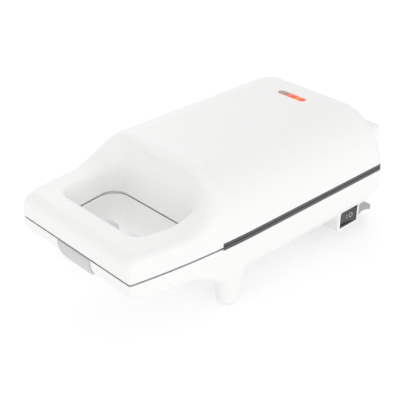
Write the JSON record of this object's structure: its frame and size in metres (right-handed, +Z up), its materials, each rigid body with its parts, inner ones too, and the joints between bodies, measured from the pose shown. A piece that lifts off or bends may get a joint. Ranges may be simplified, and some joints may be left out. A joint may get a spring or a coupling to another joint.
{
  "type": "sandwich toaster",
  "caption": "One-slice sandwich toaster: domed hinged lid with a loop handle over a tub on legs, grey front latch, side rocker switch and a pill-shaped lamp window.",
  "frame": {"origin": "on the table, below the middle of the toaster's length and width", "axes": "+X to the side that carries the switch, +Y from the handle to the hinge, +Z up"},
  "size_m": [0.13, 0.243, 0.1],
  "materials": {
    "white_plastic": "fine satin moulded white plastic",
    "plate_coating": "non-stick coating on cast aluminium",
    "grey_plastic": "satin moulded grey plastic",
    "black_plastic": "satin moulded dark plastic",
    "heater_sheath": "heat-stained steel tube",
    "reflector_steel": "bright rolled sheet",
    "screw_steel": "zinc-plated",
    "ceramic": "heat-resistant moulding",
    "wire": "silicone insulation",
    "rubber": "soft rubber",
    "lens": "clear tinted plastic",
    "lamp_red": "lit neon lamp",
    "lamp_green": "unlit lamp"
  },
  "bodies": {
    "base": {"base_casing": "white_plastic", "lower_handle_cover": "white_plastic", "lower_cover_screws": "screw_steel", "lower_plate": "plate_coating", "lower_plate_screws": "screw_steel", "lower_heater": "heater_sheath", "lower_reflector": "reflector_steel", "thermostat": "reflector_steel", "terminal_block": "ceramic", "base_wiring": "wire", "cord_gland": "grey_plastic", "switch_body": "black_plastic", "rear_stand": "grey_plastic", "stand_screws": "screw_steel", "rubber_pads": "rubber", "latch_pin": "screw_steel"},
    "lid": {"lid_cover": "white_plastic", "upper_handle_cover": "white_plastic", "upper_cover_screws": "screw_steel", "upper_plate": "plate_coating", "upper_plate_screws": "screw_steel", "upper_heater": "heater_sheath", "upper_reflector": "reflector_steel", "thermal_fuse": "ceramic", "lid_wiring": "wire", "hinge_pins": "screw_steel", "lamp_lens": "lens", "lamp_holder": "ceramic", "power_lamp": "lamp_red", "ready_lamp": "lamp_green"},
    "latch": {"latch": "grey_plastic"},
    "rocker": {"switch_rocker": "black_plastic"}
  },
  "joints": [
    {"name": "lid_hinge", "type": "hinge", "parent": "base", "child": "lid", "pos_m": [0, 0.1167, 0.06], "axis": [-1, 0, 0], "range_deg": [0, 100]},
    {"name": "latch_pivot", "type": "hinge", "parent": "base", "child": "latch", "pos_m": [0, -0.1115, 0.048], "axis": [1, 0, 0], "range_deg": [-6, 10]},
    {"name": "switch_rocker", "type": "hinge", "parent": "base", "child": "rocker", "pos_m": [0.0568, 0.0804, 0.023], "axis": [0, 0, 1], "range_deg": [0, 13]}
  ]
}
